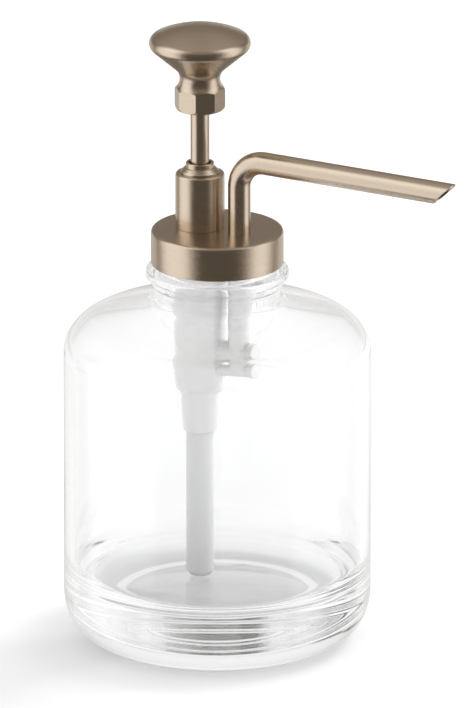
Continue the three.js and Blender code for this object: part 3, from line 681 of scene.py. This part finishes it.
# The arm is a level bar: it is turned like the rest, then laid on its side.
ARM_Z, ARM_R, ARM_END = 82.7, 2.9, 10.1
BOSS_R, BOSS_TOP, BOSS_BORE = 3.1, 93.0, 2.2
ARM_ROOT = BARREL_BORE + PLUNGER_X + 0.4


def lay_level(piece, height):
    """Lays an upright turned piece along the level line at this height, top outwards."""
    bpy.ops.object.select_all(action="DESELECT")
    piece.select_set(True)
    bpy.context.view_layer.objects.active = piece
    piece.rotation_euler = (0, math.radians(90), 0)
    piece.location = (0, 0, height * MM)
    bpy.ops.object.transform_apply(location=True, rotation=True, scale=True)


arm = spin_up("arm", eased([
    (0, ARM_ROOT, 0),
    (ARM_R, ARM_ROOT, 0),
    (ARM_R, ARM_END, 0.3),
    (0, ARM_END, 0),
], steps=4), steps=48)
lay_level(arm, ARM_Z)
boss = spin_up("boss", eased([
    (0, ARM_Z, 0),
    (BOSS_R, ARM_Z, 0),
    (BOSS_R, BOSS_TOP, 0.3),
    (0, BOSS_TOP, 0),
], steps=4), RISER_X, steps=48)
join_pieces(arm, boss)
drill(arm, BOSS_BORE, RISER_X, 86, BOSS_TOP + 1)
join_pieces(housing, arm)
join_pieces(housing, deck)
smooth(housing)
finish_piece(housing, white_plastic, "head", "pump_housing")


# ---------------------------------------------------------------- side arm plug
# Round stopper pressed into the end of the arm.

plug_low, plug_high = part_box("side_arm_plug")
PLUG_R = (plug_high.z - plug_low.z) / 2 / MM
plug = spin_up("arm_plug", eased([
    (0, ARM_END - 1.6, 0),
    (1.0, ARM_END - 1.6, 0.2),
    (1.0, ARM_END + 0.05, 0),
    (PLUG_R, ARM_END + 0.05, 0.3),
    (PLUG_R, plug_high.x / MM, 0.5),
    (0, plug_high.x / MM, 0),
], steps=5), steps=56)
lay_level(plug, ARM_Z)
smooth(plug)
finish_piece(plug, white_plastic, "head", "side_arm_plug")


# ---------------------------------------------------------------- riser pieces
# Under the cap: the upright discharge tube with its socket, and the nut and
# washer that hold the spout's foot.

riser_low, riser_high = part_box("discharge_tube")
riser = spin_up("discharge_riser", eased([
    (1.2, riser_low.z / MM, 0),
    (1.9, riser_low.z / MM, 0.2),
    (1.9, BOSS_TOP + 0.05, 0),
    (3.2, BOSS_TOP + 0.05, 0.2),
    (3.2, 106.5, 0.3),
    (4.2, 107.1, 0.3),
    (4.2, riser_high.z / MM, 0.3),
    (3.4, riser_high.z / MM, 0.1),
    (3.4, 108.2, 0),
    (1.2, 108.2, 0),
    (1.2, riser_low.z / MM, 0),
], steps=4), RISER_X, steps=64)
finish_piece(riser, white_plastic, "head", "discharge_tube")

nut_low, nut_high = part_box("spout_nut")


def bright_steel():
    """Plain bright steel with fine turning marks."""
    material = bpy.data.materials.new("steel")
    material.use_nodes = True
    tree = material.node_tree
    shader = tree.nodes["Principled BSDF"]
    shader.inputs["Metallic"].default_value = 1.0
    coordinates = tree.nodes.new("ShaderNodeTexCoord")
    marks = tree.nodes.new("ShaderNodeGroup")
    marks.node_tree = turned_brushing
    marks.inputs["Fineness"].default_value = 2400
    tint = tree.nodes.new("ShaderNodeMix")
    tint.data_type = "RGBA"
    tint.inputs["A"].default_value = (0.52, 0.53, 0.54, 1)
    tint.inputs["B"].default_value = (0.66, 0.67, 0.68, 1)
    polish = tree.nodes.new("ShaderNodeMapRange")
    polish.inputs["To Min"].default_value = 0.2
    polish.inputs["To Max"].default_value = 0.4
    tree.links.new(coordinates.outputs["Object"], marks.inputs["Vector"])
    tree.links.new(marks.outputs["Scratches"], tint.inputs["Factor"])
    tree.links.new(tint.outputs["Result"], shader.inputs["Base Color"])
    tree.links.new(marks.outputs["Scratches"], polish.inputs["Value"])
    tree.links.new(polish.outputs[0], shader.inputs["Roughness"])
    return material


steel = bright_steel()
nut_z = (nut_low.z / MM, nut_high.z / MM)
NUT_R = 4.6
nut = spin_up("riser_nut", eased([
    (SPOUT_R, nut_z[0], 0),
    (NUT_R, nut_z[0], 0.3),
    (NUT_R, nut_z[1], 0.3),
    (SPOUT_R, nut_z[1], 0),
    (SPOUT_R, nut_z[0], 0),
], steps=4), RISER_X, steps=64)
finish_piece(nut, steel, "head", "spout_nut")


def rubbery():
    """Black moulded rubber with a dusty, uneven sheen."""
    material = bpy.data.materials.new("rubber")
    material.use_nodes = True
    tree = material.node_tree
    shader = tree.nodes["Principled BSDF"]
    coordinates = tree.nodes.new("ShaderNodeTexCoord")
    bloom = tree.nodes.new("ShaderNodeTexNoise")
    bloom.inputs["Scale"].default_value = 300
    bloom.inputs["Detail"].default_value = 4
    tint = tree.nodes.new("ShaderNodeMix")
    tint.data_type = "RGBA"
    tint.inputs["A"].default_value = (0.012, 0.012, 0.013, 1)
    tint.inputs["B"].default_value = (0.035, 0.035, 0.036, 1)
    sheen = tree.nodes.new("ShaderNodeMapRange")
    sheen.inputs["To Min"].default_value = 0.55
    sheen.inputs["To Max"].default_value = 0.85
    tree.links.new(coordinates.outputs["Object"], bloom.inputs["Vector"])
    tree.links.new(bloom.outputs["Fac"], tint.inputs["Factor"])
    tree.links.new(tint.outputs["Result"], shader.inputs["Base Color"])
    tree.links.new(bloom.outputs["Fac"], sheen.inputs["Value"])
    tree.links.new(sheen.outputs[0], shader.inputs["Roughness"])
    return material


rubber = rubbery()


def flat_ring(node, inner, axis_x, material, body, ease=0.2):
    """A plain turned ring with the height and outside of its CAD node."""
    low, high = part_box(node)
    outer = (high.y - low.y) / 2 / MM
    bottom, top = low.z / MM, high.z / MM
    ring = spin_up(node + "_turned", eased([
        (inner, bottom, 0),
        (outer, bottom, ease),
        (outer, top, ease),
        (inner, top, ease),
        (inner, bottom, 0),
    ], steps=4), axis_x, steps=96)
    finish_piece(ring, material, body, node)


flat_ring("spout_washer", SPOUT_R, RISER_X, rubber, "head")


# ---------------------------------------------------------------- sealing rings
# The gasket on the bottle's lip, the plastic liner inside the cap that takes the
# bottle's thread, and the soft wiper round the rod under the gland ring.

flat_ring("bottle_gasket", 13.6, 0, rubber, "gasket")
flat_ring("cap_liner", 16.45, 0, white_plastic, "head", 0.15)
flat_ring("rod_wiper", ROD_R + 0.02, PLUNGER_X, rubber, "head")


# ---------------------------------------------------------------- piston
# Plastic piston screwed on the rod's foot, with a groove that holds a rubber ring.

piston_low, piston_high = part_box("piston")
seal_low, seal_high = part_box("piston_seal")
PISTON_R, GROOVE_R = 4.7, 3.7
groove = (seal_low.z / MM, seal_high.z / MM)
piston = spin_up("piston_turned", eased([
    (ROD_R, piston_low.z / MM, 0),
    (PISTON_R, piston_low.z / MM, 0.5),
    (PISTON_R, groove[0], 0.1),
    (GROOVE_R, groove[0], 0),
    (GROOVE_R, groove[1], 0),
    (PISTON_R, groove[1], 0.1),
    (PISTON_R, piston_high.z / MM, 0.5),
    (ROD_R, piston_high.z / MM, 0),
    (ROD_R, piston_low.z / MM, 0),
], steps=4), PLUNGER_X, steps=72)
finish_piece(piston, white_plastic, "plunger", "piston")
flat_ring("piston_seal", GROOVE_R, PLUNGER_X, rubber, "plunger", 0.5)


# ---------------------------------------------------------------- return spring
# Six turns of steel wire between the ball stop and the piston, wound round the
# barrel's middle. In the pump it shortens as the knob goes down; here it is one
# fixed coil that moves with the head.

spring_low, spring_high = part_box("return_spring")
WIRE = 0.42
SPRING_TURNS = 6
spring_r = (spring_high.y - spring_low.y) / 2 / MM - WIRE
bpy.ops.object.select_all(action="DESELECT")
bpy.ops.mesh.primitive_circle_add(
    vertices=14, radius=WIRE * MM, fill_type="NOTHING",
    location=(spring_r * MM, 0, 0), rotation=(math.radians(90), 0, 0),
)
spring = bpy.context.active_object
spring.name = "coil_spring"
bpy.ops.object.transform_apply(location=True, rotation=True, scale=True)
coil = spring.modifiers.new("coil", "SCREW")
coil.axis = "Z"
coil.iterations = SPRING_TURNS
coil.screw_offset = (spring_high.z - spring_low.z - 2 * WIRE * MM) / SPRING_TURNS
coil.steps = coil.render_steps = 40
coil.use_merge_vertices = False
bpy.ops.object.modifier_apply(modifier="coil")
bpy.ops.object.mode_set(mode="EDIT")
bpy.ops.mesh.select_all(action="SELECT")
bpy.ops.transform.translate(value=(PLUNGER_X * MM, 0, spring_low.z + WIRE * MM))
bpy.ops.mesh.fill_holes(sides=0)
bpy.ops.mesh.select_all(action="SELECT")
bpy.ops.mesh.normals_make_consistent(inside=False)
bpy.ops.object.mode_set(mode="OBJECT")
smooth(spring, 50)
finish_piece(spring, steel, "head", "return_spring")
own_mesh(spring)


# ---------------------------------------------------------------- tailpiece
# Lower end of the pump, slightly tapered. It holds the inlet valve's seat and takes
# the suction tube from below.

tail_low, tail_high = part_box("tailpiece")
TAIL_TOP_R, TAIL_BOTTOM_R = 5.65, 4.8
tail_bottom, tail_top = tail_low.z / MM, tail_high.z / MM
DIP_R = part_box("dip_tube")[1].y / MM
dip_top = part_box("dip_tube")[1].z / MM
tail = spin_up("tailpiece_turned", eased([
    (DIP_R + 0.02, tail_bottom, 0.1),
    (TAIL_BOTTOM_R, tail_bottom, 0.5),
    (TAIL_TOP_R, body_bottom - 0.08, 0.25),
    (4.9, body_bottom - 0.08, 0),
    (4.9, tail_top, 0.2),
    (3.6, tail_top, 0.1),
    (3.6, 69.8, 0),
    (1.6, 67.4, 0),
    (1.6, dip_top + 0.1, 0),
    (DIP_R + 0.02, dip_top + 0.1, 0),
    (DIP_R + 0.02, tail_bottom, 0),
], steps=5), PLUNGER_X, steps=96)
finish_piece(tail, white_plastic, "head", "tailpiece")


# ---------------------------------------------------------------- valves
# Steel balls that lift off their seats, and the drilled disc over the inlet ball
# that the spring stands on.


def steel_ball(name, node, body):
    """A ground steel ball in the place of its CAD node."""
    low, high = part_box(node)
    bpy.ops.object.select_all(action="DESELECT")
    bpy.ops.mesh.primitive_uv_sphere_add(
        segments=40, ring_count=24, radius=(high.z - low.z) / 2, location=(low + high) / 2,
    )
    ball = bpy.context.active_object
    ball.name = name
    bpy.ops.object.transform_apply(location=True, rotation=True, scale=True)
    smooth(ball, 60)
    finish_piece(ball, steel, body, node)


steel_ball("inlet_valve_ball", "inlet_ball", "inlet_valve")
steel_ball("outlet_valve_ball", "outlet_ball", "outlet_valve")

stop_low, stop_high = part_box("ball_stop")
stop_r = (stop_high.y - stop_low.y) / 2 / MM
stop_z = (stop_low.z / MM, stop_high.z / MM)
stop = spin_up("inlet_stop", eased([
    (0, stop_z[0], 0),
    (stop_r, stop_z[0], 0.15),
    (stop_r, stop_z[1], 0.15),
    (0, stop_z[1], 0),
], steps=4), PLUNGER_X, steps=64)
PORT_CIRCLE, PORT_R, PORTS = 2.4, 1.0, 4
for number in range(PORTS):
    turn = math.tau * (number + 0.5) / PORTS
    bpy.ops.object.select_all(action="DESELECT")
    bpy.ops.mesh.primitive_cylinder_add(
        vertices=28, radius=PORT_R * MM, depth=4 * MM, location=(
            (PLUNGER_X + PORT_CIRCLE * math.cos(turn)) * MM,
            PORT_CIRCLE * math.sin(turn) * MM,
            (stop_z[0] + stop_z[1]) / 2 * MM,
        ),
    )
    bit = bpy.context.active_object
    port = stop.modifiers.new("port", "BOOLEAN")
    port.operation = "DIFFERENCE"
    port.solver = "EXACT"
    port.object = bit
    bpy.context.view_layer.objects.active = stop
    bpy.ops.object.modifier_apply(modifier="port")
    bpy.data.objects.remove(bit)
smooth(stop)
finish_piece(stop, white_plastic, "head", "ball_stop")


# ---------------------------------------------------------------- suction tube
# Milky extruded tube pushed up into the tailpiece. Its lower end is rounded over
# and almost reaches the bottle's floor.

dip_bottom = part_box("dip_tube")[0].z / MM
DIP_WALL = 0.7
dip = spin_up("suction_tube", eased([
    (DIP_R - DIP_WALL, dip_bottom + 1.2, 0),
    (DIP_R - DIP_WALL - 0.5, dip_bottom + 0.1, 0.3),
    (DIP_R - 0.9, dip_bottom, 0.4),
    (DIP_R, dip_bottom + 1.3, 0.9),
    (DIP_R, dip_top, 0.1),
    (DIP_R - DIP_WALL, dip_top, 0.1),
    (DIP_R - DIP_WALL, dip_bottom + 1.2, 0),
], steps=6), PLUNGER_X, steps=96)
milky = moulded_plastic("milky_plastic", (0.97, 0.975, 0.975), 0.22, 0.3, 0.2)
milky.node_tree.nodes["Principled BSDF"].inputs["Transmission Weight"].default_value = 0.1
finish_piece(dip, milky, "head", "dip_tube")


# ---------------------------------------------------------------- floor and light
# White paper under an even white surround, and one large soft lamp high on the
# right. The metal mirrors a dark opening in front, a tall bright screen on each side
# and grey walls. A few dark cards overhead show only where the glass bends light.

VIEW_TURN = math.radians(28.8)
VIEW_LIFT = math.radians(18.4)
to_camera = Vector((
    math.sin(VIEW_TURN) * math.cos(VIEW_LIFT),
    -math.cos(VIEW_TURN) * math.cos(VIEW_LIFT),
    math.sin(VIEW_LIFT),
))
image_right = Vector((math.cos(VIEW_TURN), math.sin(VIEW_TURN), 0))
level_to_camera = Vector((math.sin(VIEW_TURN), -math.cos(VIEW_TURN), 0))
TARGET = Vector((4.706, 2.587, 82.5)) * MM

bpy.ops.object.select_all(action="DESELECT")
bpy.ops.mesh.primitive_plane_add(size=8)
floor = bpy.context.active_object
floor.name = "floor"
paper = bpy.data.materials.new("paper")
paper.use_nodes = True
paper.node_tree.nodes["Principled BSDF"].inputs["Base Color"].default_value = (0.93, 0.93, 0.93, 1)
paper.node_tree.nodes["Principled BSDF"].inputs["Roughness"].default_value = 0.9
paper.node_tree.nodes["Principled BSDF"].inputs["Specular IOR Level"].default_value = 0.1
floor.data.materials.append(paper)
floor.visible_glossy = False

world = bpy.data.worlds.new("surround")
bpy.context.scene.world = world
world.use_nodes = True
studio = world.node_tree


def sum_node(operation, first, second=None, third=None):
    """One arithmetic node of the surround; each term is a number or a socket."""
    node = studio.nodes.new("ShaderNodeMath")
    node.operation = operation
    for number, term in enumerate((first, second, third)):
        if isinstance(term, (int, float)):
            node.inputs[number].default_value = term
        elif term is not None:
            studio.links.new(term, node.inputs[number])
    return node.outputs[0]


def screen(value, low, high, soft):
    """1 between two angles in degrees and 0 outside them, with soft edges."""
    edges = []
    for inner, outer in ((low + soft / 2, low - soft / 2), (high - soft / 2, high + soft / 2)):
        ramp = studio.nodes.new("ShaderNodeMapRange")
        ramp.interpolation_type = "SMOOTHSTEP"
        ramp.inputs["From Min"].default_value = outer
        ramp.inputs["From Max"].default_value = inner
        studio.links.new(value, ramp.inputs["Value"])
        edges.append(ramp.outputs[0])
    return sum_node("MULTIPLY", *edges)


looking = studio.nodes.new("ShaderNodeTexCoord")
faced = studio.nodes.new("ShaderNodeVectorRotate")
faced.rotation_type = "Z_AXIS"
faced.inputs["Angle"].default_value = -VIEW_TURN
apart = studio.nodes.new("ShaderNodeSeparateXYZ")
studio.links.new(looking.outputs["Generated"], faced.inputs["Vector"])
studio.links.new(faced.outputs[0], apart.inputs[0])
ahead = sum_node("MULTIPLY", apart.outputs["Y"], -1.0)
around = sum_node("DEGREES", sum_node("ARCTAN2", apart.outputs["X"], ahead))
above = sum_node("DEGREES", sum_node("ARCSINE", apart.outputs["Z"]))
SCREENS = [
    # from, to round the object; from, to in height; edge softness; brightness
    (-112, -48, -42, 58, 14, 0.92),
    (60, 106, -42, 58, 14, 0.88),
    (-180, -128, -30, 4, 12, 0.4),
    (128, 180, -30, 4, 12, 0.5),
    (-180, 180, 34, 110, 40, 0.2),
]
GREY_WALLS = 0.23
DARK_FRONT = 0.13
shine = sum_node("MULTIPLY_ADD", screen(around, -44, 44, 20), -DARK_FRONT, GREY_WALLS)
for left, right, low, high, soft, strength in SCREENS:
    lit = sum_node("MULTIPLY", screen(around, left, right, soft), screen(above, low, high, soft))
    shine = sum_node("MULTIPLY_ADD", lit, strength, shine)
SHADE_IN_FRONT = 0.25
frontal = sum_node("MULTIPLY", screen(around, -50, 50, 30), screen(above, -60, 50, 30))
DAYLIGHT = 0.83
daylight = sum_node("MULTIPLY_ADD", frontal, -SHADE_IN_FRONT * DAYLIGHT, DAYLIGHT)
ray = studio.nodes.new("ShaderNodeLightPath")
soft_light = studio.nodes.new("ShaderNodeMix")
studio.links.new(ray.outputs["Is Diffuse Ray"], soft_light.inputs["Factor"])
DARK_CARDS = [
    # from, to round the object; from, to in height; edge softness; depth of the dark
    (-10, 18, 12, 44, 8, 0.9),
    (-128, -74, 16, 44, 8, 0.9),
    (-200, 200, 50, 110, 10, 0.3),
]
through_glass = 1.0
for left, right, low, high, soft, depth in DARK_CARDS:
    card = sum_node("MULTIPLY", screen(around, left, right, soft), screen(above, low, high, soft))
    card = sum_node("MULTIPLY", card, ray.outputs["Is Transmission Ray"])
    through_glass = sum_node("MULTIPLY_ADD", card, -depth, through_glass)
studio.links.new(through_glass, soft_light.inputs["A"])
studio.links.new(daylight, soft_light.inputs["B"])
brightness = studio.nodes.new("ShaderNodeMix")
mirrored = sum_node("SUBTRACT", ray.outputs["Is Glossy Ray"], ray.outputs["Is Transmission Ray"])
studio.links.new(mirrored, brightness.inputs["Factor"])
studio.links.new(soft_light.outputs["Result"], brightness.inputs["A"])
studio.links.new(shine, brightness.inputs["B"])
surround = studio.nodes["Background"]
warmth = studio.nodes.new("ShaderNodeMix")
warmth.data_type = "RGBA"
warmth.inputs["A"].default_value = (1.0, 0.86, 0.72, 1)
warmth.inputs["B"].default_value = (1, 1, 1, 1)
plain = sum_node("SUBTRACT", 1.0, mirrored)
studio.links.new(sum_node("MAXIMUM", plain, brightness.outputs["Result"]), warmth.inputs["Factor"])
studio.links.new(warmth.outputs["Result"], surround.inputs["Color"])
studio.links.new(brightness.outputs["Result"], surround.inputs["Strength"])

LAMP_SIZE = 0.7
LAMP_WATTS = 15
LAMP_RIGHT, LAMP_BEHIND, LAMP_UP = 0.9, 0.5, 1.1
lamp_place = TARGET + image_right * LAMP_RIGHT - level_to_camera * LAMP_BEHIND
lamp_place += Vector((0, 0, LAMP_UP))
lamp_data = bpy.data.lights.new("soft_lamp", "AREA")
lamp_data.size = LAMP_SIZE
lamp_data.energy = LAMP_WATTS
lamp = bpy.data.objects.new("soft_lamp", lamp_data)
bpy.context.scene.collection.objects.link(lamp)
lamp.location = lamp_place
lamp.rotation_euler = (TARGET - lamp_place).to_track_quat("-Z", "Y").to_euler()
lamp.visible_glossy = False
lamp.visible_transmission = False

# Clear glass needs long light paths, or its thick base goes black.
LIGHT_BOUNCES = 128
bpy.context.scene.cycles.max_bounces = LIGHT_BOUNCES
bpy.context.scene.cycles.transmission_bounces = LIGHT_BOUNCES
bpy.context.scene.cycles.glossy_bounces = LIGHT_BOUNCES
bpy.context.scene.cycles.transparent_max_bounces = 24

CAMERA_AWAY = 6.0
SEEN_WIDTH = 0.19796
camera_data = bpy.data.cameras.new("camera")
camera_data.sensor_width = 36
camera_data.lens = camera_data.sensor_width * CAMERA_AWAY / SEEN_WIDTH
camera_data.clip_start = 0.1
camera_data.clip_end = 100
camera = bpy.data.objects.new("camera", camera_data)
bpy.context.scene.collection.objects.link(camera)
camera.location = TARGET + to_camera * CAMERA_AWAY
camera.rotation_euler = (-to_camera).to_track_quat("-Z", "Y").to_euler()
bpy.context.scene.camera = camera
bpy.context.scene.view_settings.view_transform = "Standard"
